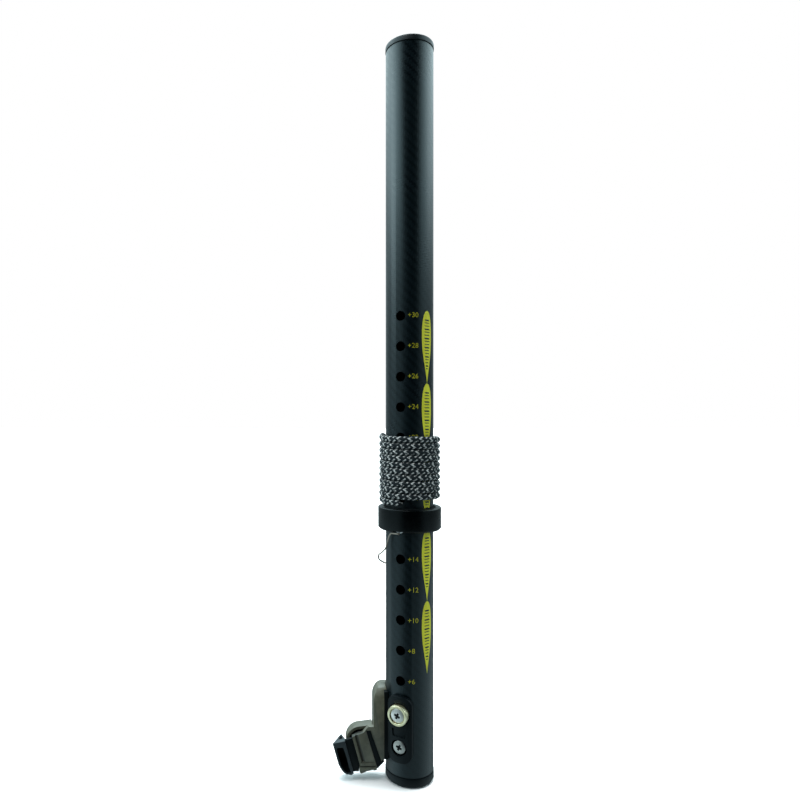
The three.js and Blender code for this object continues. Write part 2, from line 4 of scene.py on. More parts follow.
import bmesh
import bpy
import numpy as np
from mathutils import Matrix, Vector

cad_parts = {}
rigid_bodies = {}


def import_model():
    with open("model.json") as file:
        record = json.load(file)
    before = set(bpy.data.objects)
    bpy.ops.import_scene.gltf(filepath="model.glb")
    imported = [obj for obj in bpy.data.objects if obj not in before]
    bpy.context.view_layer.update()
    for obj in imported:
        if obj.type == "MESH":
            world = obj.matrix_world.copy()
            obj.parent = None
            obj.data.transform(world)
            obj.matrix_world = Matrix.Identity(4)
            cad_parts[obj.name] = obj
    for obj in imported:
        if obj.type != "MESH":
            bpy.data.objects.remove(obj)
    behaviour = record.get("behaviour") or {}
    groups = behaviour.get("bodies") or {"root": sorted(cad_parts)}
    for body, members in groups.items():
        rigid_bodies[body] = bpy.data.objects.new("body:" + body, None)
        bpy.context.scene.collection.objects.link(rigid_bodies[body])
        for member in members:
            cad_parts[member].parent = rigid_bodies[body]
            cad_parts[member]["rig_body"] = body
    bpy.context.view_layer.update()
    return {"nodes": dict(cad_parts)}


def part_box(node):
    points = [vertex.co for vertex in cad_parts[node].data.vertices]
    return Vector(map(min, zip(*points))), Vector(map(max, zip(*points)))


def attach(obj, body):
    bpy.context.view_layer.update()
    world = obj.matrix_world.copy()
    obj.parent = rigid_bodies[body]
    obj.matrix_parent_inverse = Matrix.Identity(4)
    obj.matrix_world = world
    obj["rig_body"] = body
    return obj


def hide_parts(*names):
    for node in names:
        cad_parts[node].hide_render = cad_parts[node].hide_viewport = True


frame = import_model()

MM = 0.001
UP = Vector((0, 0, 1))
NODES = frame["nodes"]


def middle(node):
    low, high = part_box(node)
    return (low + high) / 2


def span(node):
    low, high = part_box(node)
    return high - low


# ---------- places taken from the frame ----------
AXIS = middle("carbon_tube")
TUBE_R = span("carbon_tube").x / 2
LOCK_ANGLE = math.radians(-30.2)  # from the front, -Y, to the row of holes
HOLE_PITCH = 20 * MM
HOLE_FIRST_Z = 70 * MM
HOLE_COUNT = 13


def out(angle, radius, z):
    """The point at that distance from the tube's axis; angle 0 is the front, -Y."""
    return Vector((AXIS.x + radius * math.sin(angle), AXIS.y - radius * math.cos(angle), z))


LOCK_AXIS = out(LOCK_ANGLE, 1, 0) - out(LOCK_ANGLE, 0, 0)  # the way the holes and the button face

# ---------- camera ----------
SENSOR = 36  # mm
LENS = 29.12  # mm
LENS_SHIFT = (0.107, 0.0116)  # sideways and up, as shares of the picture's width
CAMERA_ASIDE = -64.5 * MM  # from the tube's axis
CAMERA_IN_FRONT = -439 * MM
CAMERA_HEIGHT = 248.6 * MM


def make_camera():
    data = bpy.data.cameras.new("camera")
    data.sensor_width = SENSOR
    data.lens = LENS
    data.shift_x, data.shift_y = LENS_SHIFT
    data.clip_start = 10 * MM
    camera = bpy.data.objects.new("camera", data)
    camera.location = AXIS + Vector((CAMERA_ASIDE, CAMERA_IN_FRONT, 0))
    camera.location.z = CAMERA_HEIGHT
    camera.rotation_euler = (math.pi / 2, 0, 0)
    bpy.context.scene.collection.objects.link(camera)
    bpy.context.scene.camera = camera


# ---------- mesh helpers ----------
SHARP = math.radians(32)  # edges sharper than this aren't shaded smooth
FLAT = math.radians(1)  # faces that meet at less than this are joined
WELD = 0.002 * MM  # points closer than this are joined


def new_object(name, mesh):
    piece = bpy.data.objects.new(name, mesh)
    bpy.context.scene.collection.objects.link(piece)
    return piece


def smooth(mesh):
    mesh.shade_smooth()
    mesh.set_sharp_from_angle(angle=SHARP)


def baked(piece):
    """Applies the piece's modifiers to its mesh."""
    graph = bpy.context.evaluated_depsgraph_get()
    mesh = bpy.data.meshes.new_from_object(piece.evaluated_get(graph))
    piece.modifiers.clear()
    piece.data = mesh


def mesh_of(name, bm):
    bmesh.ops.recalc_face_normals(bm, faces=bm.faces)
    mesh = bpy.data.meshes.new(name)
    bm.to_mesh(mesh)
    bm.free()
    smooth(mesh)
    return mesh


def refined(node, width, segments=3, limit=35):
    """A copy of a CAD node's shape, which stands for that node.

    Its edges sharper than limit, in degrees, are rounded over width, in mm.
    """
    mesh = NODES[node].data.copy()
    mesh.materials.clear()
    bm = bmesh.new()
    bm.from_mesh(mesh)
    bmesh.ops.remove_doubles(bm, verts=bm.verts, dist=WELD)
    bmesh.ops.dissolve_limit(bm, angle_limit=FLAT, verts=bm.verts, edges=bm.edges)
    bm.to_mesh(mesh)
    bm.free()
    piece = new_object(node + "_shape", mesh)
    edge = piece.modifiers.new("edge", "BEVEL")
    edge.width = width * MM
    edge.segments = segments
    edge.limit_method = "ANGLE"
    edge.angle_limit = math.radians(limit)
    edge.use_clamp_overlap = True
    baked(piece)
    smooth(piece.data)
    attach(piece, NODES[node]["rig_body"])
    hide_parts(node)
    return piece


def rounded(points, radii, steps=5):
    """A closed outline with its corners rounded, in steps; radii has one radius for each corner."""
    most = 0.49  # of a side, so that two neighbouring corners never meet
    result = []
    count = len(points)
    for i, (point, radius) in enumerate(zip(points, radii)):
        here = Vector(point)
        if radius <= 0:
            result.append(here)
            continue
        back = Vector(points[i - 1]) - here
        ahead = Vector(points[(i + 1) % count]) - here
        half = back.angle(ahead) / 2
        reach = min(radius / math.tan(half), most * back.length, most * ahead.length)
        start, end = here + back.normalized() * reach, here + ahead.normalized() * reach
        for k in range(steps + 1):
            t = k / steps
            result.append((1 - t) ** 2 * start + 2 * t * (1 - t) * here + t * t * end)
    return result


def turned(name, profile, place, axis=UP, sides=144, knurl=None):
    """A solid of revolution from closed [radius, along] points in mm, about an axis through place.

    knurl gives how far each point moves out, in mm, from its turn, its radius and its place along the axis.
    """
    bm = bmesh.new()
    rings = []
    for radius, along in profile:
        if radius < 1e-6:  # on the axis
            rings.append([bm.verts.new((0, 0, along * MM))])
            continue
        ring = []
        for k in range(sides):
            turn = 2 * math.pi * k / sides
            change = knurl(turn, radius, along) if knurl else 0
            r = (radius + change) * MM
            ring.append(bm.verts.new((r * math.cos(turn), r * math.sin(turn), along * MM)))
        rings.append(ring)
    for i, ring in enumerate(rings):
        following = rings[(i + 1) % len(rings)]
        if len(ring) == 1 and len(following) == 1:
            continue
        for k in range(sides):
            n = (k + 1) % sides
            if len(ring) == 1:
                bm.faces.new((ring[0], following[n], following[k]))
            elif len(following) == 1:
                bm.faces.new((ring[k], ring[n], following[0]))
            else:
                bm.faces.new((ring[k], ring[n], following[n], following[k]))
    tilt = UP.rotation_difference(axis).to_matrix().to_4x4()
    bmesh.ops.transform(bm, matrix=tilt, verts=bm.verts)
    bmesh.ops.translate(bm, vec=Vector(place), verts=bm.verts)
    return new_object(name, mesh_of(name, bm))


def cut_by(piece, cutters):
    """Cuts the cutters out of the piece, and removes them."""
    for cutter in cutters:
        tool = piece.modifiers.new("cut", "BOOLEAN")
        tool.operation = "DIFFERENCE"
        tool.solver = "EXACT"
        tool.object = cutter
    baked(piece)
    for cutter in cutters:
        bpy.data.objects.remove(cutter)
    smooth(piece.data)


# ---------- materials ----------
class Shader:
    """A Principled material and short ways to add nodes to it."""

    def __init__(self, name, color, roughness, metallic=0.0, **sockets):
        self.material = bpy.data.materials.new(name)
        self.material.use_nodes = True
        self.nodes = self.material.node_tree.nodes
        self.links = self.material.node_tree.links
        self.surface = self.nodes["Principled BSDF"]
        self.put("Base Color", (*color, 1))
        self.put("Roughness", roughness)
        self.put("Metallic", metallic)
        for key, value in sockets.items():
            self.put(key.replace("_", " "), value)

    def put(self, socket, value):
        self.feed(self.surface.inputs[socket], value)

    def feed(self, socket, value):
        if isinstance(value, bpy.types.NodeSocket):
            self.links.new(value, socket)
        else:
            socket.default_value = value

    def math(self, operation, *values):
        node = self.nodes.new("ShaderNodeMath")
        node.operation = operation
        for socket, value in zip(node.inputs, values):
            self.feed(socket, value)
        return node.outputs[0]

    def place(self):
        """Object coordinates as x, y, z."""
        split = self.nodes.new("ShaderNodeSeparateXYZ")
        self.links.new(self.nodes.new("ShaderNodeTexCoord").outputs["Object"], split.inputs[0])
        return split.outputs

    def vector(self, x, y, z=0.0):
        node = self.nodes.new("ShaderNodeCombineXYZ")
        for socket, value in zip(node.inputs, (x, y, z)):
            self.feed(socket, value)
        return node.outputs[0]

    def noise(self, scale, detail=3.0, roughness=0.5, vector=None):
        node = self.nodes.new("ShaderNodeTexNoise")
        node.inputs["Scale"].default_value = scale
        node.inputs["Detail"].default_value = detail
        node.inputs["Roughness"].default_value = roughness
        if vector is None:
            vector = self.nodes.new("ShaderNodeTexCoord").outputs["Object"]
        self.links.new(vector, node.inputs["Vector"])
        return node.outputs["Fac"]

    def range(self, value, low, high, to_low, to_high):
        node = self.nodes.new("ShaderNodeMapRange")
        for socket, number in zip(node.inputs, (value, low, high, to_low, to_high)):
            self.feed(socket, number)
        return node.outputs[0]

    def mix(self, factor, first, second):
        node = self.nodes.new("ShaderNodeMix")
        node.data_type = "RGBA"
        self.feed(node.inputs[0], factor)
        for socket, value in zip((node.inputs[6], node.inputs[7]), (first, second)):
            self.feed(socket, value if isinstance(value, bpy.types.NodeSocket) else (*value, 1))
        return node.outputs[2]

    def bump(self, height, distance, strength=1.0):
        node = self.nodes.new("ShaderNodeBump")
        node.inputs["Strength"].default_value = strength
        node.inputs["Distance"].default_value = distance
        self.links.new(height, node.inputs["Height"])
        self.links.new(node.outputs[0], self.surface.inputs["Normal"])


TOW = 1.55 * MM  # width of one tow of the weave


def carbon():
    """Twill-woven carbon under a satin resin."""
    s = Shader("carbon_twill", (0.012, 0.015, 0.018), 0.3, Specular_Tint=(0.78, 0.95, 1, 1))
    x, y, z = s.place()
    angle = s.math("ARCTAN2", s.math("SUBTRACT", y, AXIS.y), s.math("SUBTRACT", x, AXIS.x))
    u = s.math("MULTIPLY", angle, TUBE_R / TOW)
    v = s.math("DIVIDE", z, TOW)
    step = s.math("ADD", s.math("FLOOR", u), s.math("FLOOR", v))
    warp = s.math("LESS_THAN", s.math("FLOORED_MODULO", step, 4.0), 2.0)

    def crown(value):
        """The rounded top of one tow, 1 along its middle and 0 at its edges."""
        side = s.math("SUBTRACT", s.math("FRACT", value), 0.5)
        return s.math("SUBTRACT", 1.0, s.math("MULTIPLY", s.math("MULTIPLY", side, side), 4.0))

    lift = s.math("ADD", s.math("MULTIPLY", warp, crown(u)),
                  s.math("MULTIPLY", s.math("SUBTRACT", 1.0, warp), crown(v)))
    finer = 9.0  # fibres across a tow
    fibre = s.noise(1.0, 2.0, 0.6, s.vector(s.math("MULTIPLY", u, finer), s.math("MULTIPLY", v, finer)))
    tone = s.math("ADD", s.math("MULTIPLY", warp, 0.55), s.math("MULTIPLY", fibre, 0.45))
    cloud = s.noise(28.0, 2.0)
    woven = s.mix(tone, (0.0022, 0.0050, 0.0070), (0.0080, 0.0145, 0.0185))
    s.put("Base Color", s.mix(s.range(cloud, 0.3, 0.7, 0.0, 0.35), woven, (0.004, 0.0085, 0.0115)))
    s.put("Roughness", s.range(s.math("ADD", tone, cloud), 0.4, 1.5, 0.26, 0.35))
    relief = s.math("ADD", s.math("MULTIPLY", lift, 0.7), s.math("MULTIPLY", fibre, 0.15))
    s.bump(relief, 0.05 * MM, 0.65)
    return s.material


def moulded(name, color, roughness, grain=0.03, wear=0.25, gloss=0.5):
    """Moulded plastic: a fine grain, in mm, faint clouds of tone and edges rubbed lighter by wear."""
    s = Shader(name, color, roughness, Specular_Tint=(0.85, 0.96, 1, 1), Specular_IOR_Level=gloss)
    fine = s.noise(2600.0, 2.0, 0.6)
    broad = s.noise(160.0, 4.0, 0.6)
    point = s.nodes.new("ShaderNodeNewGeometry").outputs["Pointiness"]
    edge = s.range(point, 0.52, 0.60, 0.0, wear)
    lighter = tuple(min(1.0, c * 1.9 + 0.03) for c in color)
    darker = tuple(c * 0.75 for c in color)
    base = s.mix(s.range(broad, 0.35, 0.7, 0.0, 1.0), darker, color)
    rubbed = s.math("MULTIPLY", edge, s.range(broad, 0.3, 0.6, 0.3, 1.0))
    s.put("Base Color", s.mix(rubbed, base, lighter))
    s.put("Roughness", s.range(broad, 0.3, 0.7, roughness - 0.06, roughness + 0.08))
    s.bump(s.math("ADD", s.math("MULTIPLY", fine, 0.7), s.math("MULTIPLY", broad, 0.3)), grain * MM, 0.5)
    return s.material


def metal(name, color, roughness, spread=0.12):
    """Metal with fine upright streaks and faint stains; spread is how much its roughness varies."""
    s = Shader(name, color, roughness, 1.0)
    streak = (900.0, 900.0, 90.0)  # finer across than up
    fine = s.noise(1.0, 3.0, 0.6, s.vector(*(s.math("MULTIPLY", a, f) for a, f in zip(s.place(), streak))))
    broad = s.noise(220.0, 4.0, 0.6)
    dull = tuple(c * 0.7 for c in color)
    s.put("Base Color", s.mix(s.range(broad, 0.35, 0.75, 0.0, 0.6), color, dull))
    blend = s.math("ADD", s.math("MULTIPLY", fine, 0.7), s.math("MULTIPLY", broad, 0.3))
    s.put("Roughness", s.range(blend, 0.3, 0.7, roughness - spread / 2, roughness + spread))
    s.bump(fine, 0.008 * MM, 0.35)
    return s.material


def pale_brass():
    """Pale brass with duller patches and a fine grain."""
    s = Shader("button_brass", (0.9, 0.83, 0.52), 0.3, 1.0)
    broad = s.noise(260.0, 4.0, 0.6)
    s.put("Base Color", s.mix(s.range(broad, 0.3, 0.75, 0.0, 1.0), (1.0, 0.95, 0.68), (0.78, 0.71, 0.42)))
    s.put("Roughness", s.range(broad, 0.3, 0.7, 0.24, 0.42))
    s.bump(s.noise(3000.0, 2.0), 0.01 * MM, 0.4)
    return s.material


def yellow_ink(name, dull, bright):
    """Printed ink in clouds of two tones, with small specks worn out of it."""
    s = Shader(name, bright, 0.42)
    speck = s.noise(1500.0, 4.0, 0.7)
    broad = s.noise(90.0, 3.0)
    ink = s.mix(s.range(broad, 0.3, 0.7, 0.0, 1.0), dull, bright)
    s.put("Base Color", s.mix(s.range(speck, 0.68, 0.74, 0.0, 0.8), ink, (0.03, 0.035, 0.02)))
    s.put("Roughness", s.range(broad, 0.3, 0.7, 0.36, 0.5))
    s.bump(speck, 0.01 * MM, 0.3)
    return s.material


STRANDS = 8  # strands each way round the line
PICK = 1.73 * MM  # length along the line from one strand to the next


def braid():
    """A braided line: each strand goes over two and under two, and some strands are white."""
    s = Shader("braided_line", (0.1, 0.1, 0.1), 0.8, Specular_IOR_Level=0.3)
    uv = s.nodes.new("ShaderNodeSeparateXYZ")
    s.links.new(s.nodes.new("ShaderNodeUVMap").outputs[0], uv.inputs[0])
    around, along = s.math("MULTIPLY", uv.outputs[0], float(STRANDS)), uv.outputs[1]
    right, left = s.math("ADD", around, along), s.math("SUBTRACT", around, along)
    crossing = s.math("ADD", s.math("FLOOR", right), s.math("FLOOR", left))
    over = s.math("LESS_THAN", s.math("FLOORED_MODULO", crossing, 4.0), 2.0)

    def is_white(value, every):
        """1 on one strand of every so many that run the same way, and 0 on the others."""
        return s.math("LESS_THAN", s.math("FLOORED_MODULO", s.math("FLOOR", value), every), 0.5)

    def rim(value):
        """Fades a strand out towards its two edges."""
        side = s.math("ABSOLUTE", s.math("SUBTRACT", s.math("FRACT", value), 0.5))
        return s.range(side, 0.28, 0.5, 1.0, 0.0)

    under = s.math("SUBTRACT", 1.0, over)
    white_right = s.math("MULTIPLY", s.math("MULTIPLY", is_white(right, 2.0), rim(right)), over)
    white_left = s.math("MULTIPLY", s.math("MULTIPLY", is_white(left, 4.0), rim(left)), under)
    light = s.math("ADD", white_right, white_left)
    facing_out = s.math("COSINE", s.math("MULTIPLY", uv.outputs[0], 2 * math.pi))
    shade_between_turns = s.range(facing_out, 0.15, 0.65, 0.1, 1.0)  # painted shade: the white strands darken towards where the turns meet
    finer = 7.0  # fibres across a strand
    threads = s.vector(s.math("MULTIPLY", right, finer), s.math("MULTIPLY", left, finer))
    fibres = s.noise(1.0, 3.0, 0.7, threads)
    patch = s.noise(700.0, 1.0)
    dark = s.mix(fibres, (0.002, 0.005, 0.007), (0.016, 0.024, 0.030))
    pale = s.mix(s.range(fibres, 0.35, 0.65, 0.0, 1.0), (0.42, 0.44, 0.45), (1.0, 0.98, 0.94))
    # the white strands take the painted shade between the turns, and random patches
    light = s.math("MULTIPLY", s.math("MULTIPLY", light, shade_between_turns), s.range(patch, 0.38, 0.5, 0.1, 1.0))
    s.put("Base Color", s.mix(light, dark, pale))
    s.put("Roughness", s.range(fibres, 0.3, 0.7, 0.7, 0.95))
    s.bump(fibres, 0.1 * MM, 0.7)
    return s.material


def floor_paint():
    s = Shader("floor_paint", (0.86, 0.86, 0.86), 0.6)
    s.put("Base Color", s.mix(s.noise(3.0, 2.0), (0.85, 0.85, 0.85), (0.88, 0.88, 0.88)))
    return s.material


def dress(piece, material):
    piece.data.materials.clear()
    piece.data.materials.append(material)


# ---------- the downhaul line ----------
ROPE_R = 2.0 * MM
ROPE_START = math.radians(-112)  # its top end, round the tube from the front
ROPE_TURNS = 10.25
ROPE_PITCH = 4.14 * MM
ROPE_GAP = 0.35 * MM  # from the tube
ROPE_WINDING_R = TUBE_R + ROPE_GAP + ROPE_R
ROPE_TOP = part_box("rope_coil")[1].z - 2.3 * MM  # the first turn's middle, at the front
ROPE_LEVEL = 0.11  # how level the front is, as a share of a turn
ROPE_UNEVEN = 0.12  # how far the turns stray, in mm
ROPE_END_RISE = 1.1 * MM  # how far the top end rises, over its last ROPE_END_TURN radians
ROPE_END_TURN = 0.9
ROPE_END_ROUND = 1.3 * MM  # length over which an end is rounded
ROPE_END_THIN = 0.25  # how thick the very end is, as a share
ROPE_FULL = 1.02  # the turns press together, so the line is drawn a little fuller
ROPE_RING = 0.4 * MM  # length of one ring of faces
ROPE_SIDES = 36
STRAND_RELIEF = 0.34 * MM  # how far a strand's middle stands above its edges
STRAND_MEAN = 0.6  # the share of that relief that lies at the line's own radius


def rope_point(angle):
    """The line lies nearly level across the front and steps down behind the tube."""
    turn = angle / (2 * math.pi)
    drop = turn - ROPE_LEVEL * math.sin(2 * math.pi * turn)
    unevenness = ROPE_UNEVEN * math.sin(angle * 0.37 + 1) * MM
    lift = ROPE_END_RISE * max(0.0, 1 - (angle - ROPE_START) / ROPE_END_TURN) ** 2
    return out(angle, ROPE_WINDING_R + 0.5 * unevenness, ROPE_TOP - drop * ROPE_PITCH + unevenness + lift)


def braid_height(around, along):
    """How far the braid's surface stands out, as a share: a pillow on each strand's float."""
    right, left = around * STRANDS + along, around * STRANDS - along
    on_right = (np.floor(right) + left) % 4
    on_left = (right + np.floor(left)) % 4
    share = np.where(on_right < 2, on_right / 2, (on_left - 2) / 2)
    across = np.where(on_right < 2, right % 1, left % 1)
    return np.sin(math.pi * across) ** 0.6 * np.sin(math.pi * np.clip(share, 0, 1)) ** 0.5


def end_taper(left_over):
    """How thick the line is, as a share, that far from its nearer end."""
    reach = min(1.0, left_over / ROPE_END_ROUND)
    return math.sqrt(max(0.0, 1 - (1 - reach) ** 2)) * (1 - ROPE_END_THIN) + ROPE_END_THIN


def ring_round(here, tangent, radius, share):
    """One ring of points round the line at here; share 0 faces away from the tube."""
    outward = (here - Vector((AXIS.x, AXIS.y, here.z))).normalized()
    up = tangent.cross(outward).normalized()
    outward = up.cross(tangent)
    a = 2 * math.pi * share
    return (np.array(here)[None] + radius[:, None]
            * (np.cos(a)[:, None] * np.array(outward) + np.sin(a)[:, None] * np.array(up)))


def line_mesh(name, points, marks):
    """The line's skin; marks has how many picks each ring lies along the line."""
    sides, last = ROPE_SIDES, len(marks) - 1
    faces, uvs = [], []
    for i in range(last):
        for k in range(sides):
            n = (k + 1) % sides
            faces.append((i * sides + k, i * sides + n, (i + 1) * sides + n, (i + 1) * sides + k))
            uvs += [(k / sides, marks[i]), ((k + 1) / sides, marks[i]),
                    ((k + 1) / sides, marks[i + 1]), (k / sides, marks[i + 1])]
    for ring in (0, last):
        faces.append(tuple(range(ring * sides, (ring + 1) * sides)))
        uvs += [(k / sides, marks[ring]) for k in range(sides)]
    mesh = bpy.data.meshes.new(name)
    mesh.from_pydata([tuple(p) for p in points], [], faces)
    layer = mesh.uv_layers.new(name="along_line")
    layer.data.foreach_set("uv", [x for uv in uvs for x in uv])
    bm = bmesh.new()
    bm.from_mesh(mesh)
    bmesh.ops.recalc_face_normals(bm, faces=bm.faces)
    bm.to_mesh(mesh)
    bm.free()
    mesh.shade_smooth()
    return mesh


def downhaul_line():
    length = ROPE_TURNS * 2 * math.pi * ROPE_WINDING_R
    count = int(length / ROPE_RING)
    line = [rope_point(ROPE_START + ROPE_TURNS * 2 * math.pi * i / count) for i in range(count + 1)]
    share = np.arange(ROPE_SIDES) / ROPE_SIDES
    rings, marks, travelled = [], [], 0.0
    for i, here in enumerate(line):
        if i:
            travelled += (here - line[i - 1]).length
        tangent = (line[min(i + 1, count)] - line[max(i - 1, 0)]).normalized()
        relief = STRAND_RELIEF * (braid_height(share, travelled / PICK) - STRAND_MEAN)
        radius = (ROPE_R * ROPE_FULL + relief) * end_taper(min(travelled, count * ROPE_RING - travelled))
        rings.append(ring_round(here, tangent, radius, share))
        marks.append(travelled / PICK)
    piece = new_object("downhaul_line", line_mesh("downhaul_line", np.concatenate(rings), marks))
    dress(piece, braid())
    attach(piece, "collar")
    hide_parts("rope_coil")


# ---------- tube, caps and printed marks ----------
WALL = 2  # mm
HEIGHT_HOLE_R = 3.25  # mm, as the next four are
BUTTON_HOLE_R = 7.2
SCREW_HOLE_R = 2.3
HOLE_FROM, HOLE_TO = 8, 20  # distances from the axis, inside and outside the wall


def tube(material):
    low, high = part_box("carbon_tube")
    outer = TUBE_R / MM
    inner, bottom, top = outer - WALL, low.z / MM, high.z / MM
    profile = rounded([(inner, bottom), (outer, bottom), (outer, top), (inner, top)], [0.3] * 4, 2)
    piece = turned("carbon_tube_shape", profile, (AXIS.x, AXIS.y, 0), sides=256)
    cutters = []

    def hole(radius, z, towards=LOCK_AXIS):
        rod = [(0, HOLE_FROM), (radius, HOLE_FROM), (radius, HOLE_TO), (0, HOLE_TO)]
        cutters.append(turned("cutter", rod, (AXIS.x, AXIS.y, z), towards, 48))

    for i in range(HOLE_COUNT):
        hole(HEIGHT_HOLE_R, HOLE_FIRST_Z + i * HOLE_PITCH)
    hole(BUTTON_HOLE_R, middle("release_button").z)
    hole(SCREW_HOLE_R, middle("spring_screw").z)
    for node in ("bracket_screw_1", "bracket_screw_2"):
        hole(SCREW_HOLE_R, middle(node).z, Vector((-1, 0, 0)))
    cut_by(piece, cutters)
    dress(piece, material)
    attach(piece, "tube")
    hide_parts("carbon_tube")


def wrapped(mesh, angle, z, radius):
    """Bends a flat mesh in X and Y, in metres, round the tube: X goes round and Y goes up."""
    for vertex in mesh.vertices:
        x, y, depth = vertex.co
        vertex.co = out(angle + x / radius, radius + depth, z + y)
    mesh.update()


NUMBER_HEIGHT = 3.2 * MM
NUMBER_ANGLE = math.radians(-12.7)  # to the numbers' left edge
NUMBER_RISE = 0.4 * MM  # above the hole's middle
PRINT = 0.05 * MM  # how far print stands off the tube


def height_numbers(material):
    """The generic centimetre scale beside the holes."""
    bm = bmesh.new()
    for i in range(HOLE_COUNT):
        curve = bpy.data.curves.new("number", "FONT")
        curve.body = f"+{6 + 2 * i}"
        curve.align_x = "LEFT"
        curve.size = 1.0
        curve.resolution_u = 3
        text = new_object("number", curve)
        graph = bpy.context.evaluated_depsgraph_get()
        graph.update()
        mesh = bpy.data.meshes.new_from_object(text.evaluated_get(graph))
        heights = [v.co.y for v in mesh.vertices]
        low, scale = min(heights), NUMBER_HEIGHT / (max(heights) - min(heights))
        for v in mesh.vertices:
            v.co = Vector((v.co.x * scale, (v.co.y - low) * scale - NUMBER_HEIGHT / 2, 0.0))
        wrapped(mesh, NUMBER_ANGLE, HOLE_FIRST_Z + i * HOLE_PITCH + NUMBER_RISE, TUBE_R + PRINT)
        bm.from_mesh(mesh)
        bpy.data.objects.remove(text)
    mesh = bpy.data.meshes.new("height_numbers")
    bm.to_mesh(mesh)
    bm.free()
    piece = new_object("height_numbers", mesh)
    dress(piece, material)
    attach(piece, "tube")


DECAL_ANGLE = math.radians(37.2)
DECAL_WIDTH = 8.7 * MM
DECAL_LENGTH = 47.8 * MM
DECAL_TOP = 313.4 * MM
DECAL_COUNT = 5
DECAL_WIDEST = 0.35  # share of the length from the blunt end
DECAL_EDGE = 0.02 * MM  # half the width that is left at a point
BAR_COUNT = 17  # on each decal
BAR_FIRST, BAR_STEP = 0.12, 0.042  # shares of the decal's length
BAR_SHARE = 0.26  # half a bar's width, as a share of the decal's
BAR_SLANT = 0.8 * MM
BAR_THIN, BAR_THICK = 0.55 * MM, 0.95 * MM  # every third bar is thick
BAR_PRINT = PRINT + 0.04 * MM  # over the decal


def decal_half_width(t):
    """Half the decal's width that share of the way down it, as a share of half its widest."""
    if t < DECAL_WIDEST:
        return math.sin(math.pi / 2 * math.sqrt(t / DECAL_WIDEST))
    return math.cos(math.pi / 2 * (t - DECAL_WIDEST) / (1 - DECAL_WIDEST)) ** 1.2


def strip_mesh(bm, rows, angle, radius):
    """A band round the tube from rows of (left, right, z), in metres round and up."""
    columns = 7
    previous = None
    for left, right, z in rows:
        row = [bm.verts.new(out(angle + (left + (right - left) * k / (columns - 1)) / radius, radius, z))
               for k in range(columns)]
        if previous:
            for k in range(columns - 1):
                bm.faces.new((previous[k], previous[k + 1], row[k + 1], row[k]))
        previous = row


def teardrops(material, mark_material):
    """The row of teardrop decals, with plain slanted bars where lettering would be."""
    drops, bars = bmesh.new(), bmesh.new()
    steps = 44
    for i in range(DECAL_COUNT):
        top = DECAL_TOP - i * DECAL_LENGTH
        rows = []
        for k in range(steps + 1):
            t = (k / steps) ** 1.3
            half = max(decal_half_width(t), 0.0) * DECAL_WIDTH / 2 + DECAL_EDGE
            rows.append((-half, half, top - t * DECAL_LENGTH))
        strip_mesh(drops, rows, DECAL_ANGLE, TUBE_R + PRINT)
        for k in range(BAR_COUNT):
            t = BAR_FIRST + k * BAR_STEP
            half = decal_half_width(t) * DECAL_WIDTH * BAR_SHARE
            z = top - t * DECAL_LENGTH
            lean, thick = BAR_SLANT / 2, BAR_THIN if k % 3 else BAR_THICK
            rows = [(-half - lean, half - lean, z), (-half + lean, half + lean, z - thick)]
            strip_mesh(bars, rows, DECAL_ANGLE, TUBE_R + BAR_PRINT)
    for name, bm, paint in (("teardrop_decals", drops, material), ("decal_bars", bars, mark_material)):
        piece = new_object(name, mesh_of(name, bm))
        dress(piece, paint)
        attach(piece, "tube")


CAP_GAP = 0.3  # mm between the tube and the cap, and the next two are in mm too
CAP_TOP = 3  # thickness
CAP_WALL = 2.2  # of the spigot


def caps(material):
    """The plug in the tube's top: a spigot inside the tube and a rounded rim on it."""
    low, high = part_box("top_cap")
    spigot = TUBE_R / MM - WALL - CAP_GAP
    rim = span("top_cap").x / 2 / MM
    bottom, top = low.z / MM, high.z / MM
    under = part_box("carbon_tube")[1].z / MM + CAP_GAP
    points = [(spigot, bottom), (spigot, under), (rim, under), (rim, top), (0, top), (0, top - CAP_TOP),
              (spigot - CAP_WALL, top - CAP_TOP), (spigot - CAP_WALL, bottom)]
    profile = rounded(points, [0, 0, 0.25, 1.7, 0, 0, 0.5, 0], 6)
    piece = turned("top_cap_shape", profile, (AXIS.x, AXIS.y, 0), sides=192)
    dress(piece, material)
    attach(piece, "tube")
    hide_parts("top_cap")


def collar(material, lining):
    for node, width, segments, finish, slot in (("collar_ring", 0.35, 3, material, "black_plastic"),
                                                ("collar_bush", 0.25, 2, lining, "rubber")):
        dress(refined(node, width, segments, 30), finish)


# ---------- screws and button; distances along the axis are from the tube's axis, in mm ----------
RECESS = 2.3  # half the span of a screw's cross recess
RECESS_DEPTH = 1.5
RECESS_TURN = math.radians(38)
SHANK_R = 1.2
HEAD_CROWN = 0.45  # how far a head's middle stands above its edge


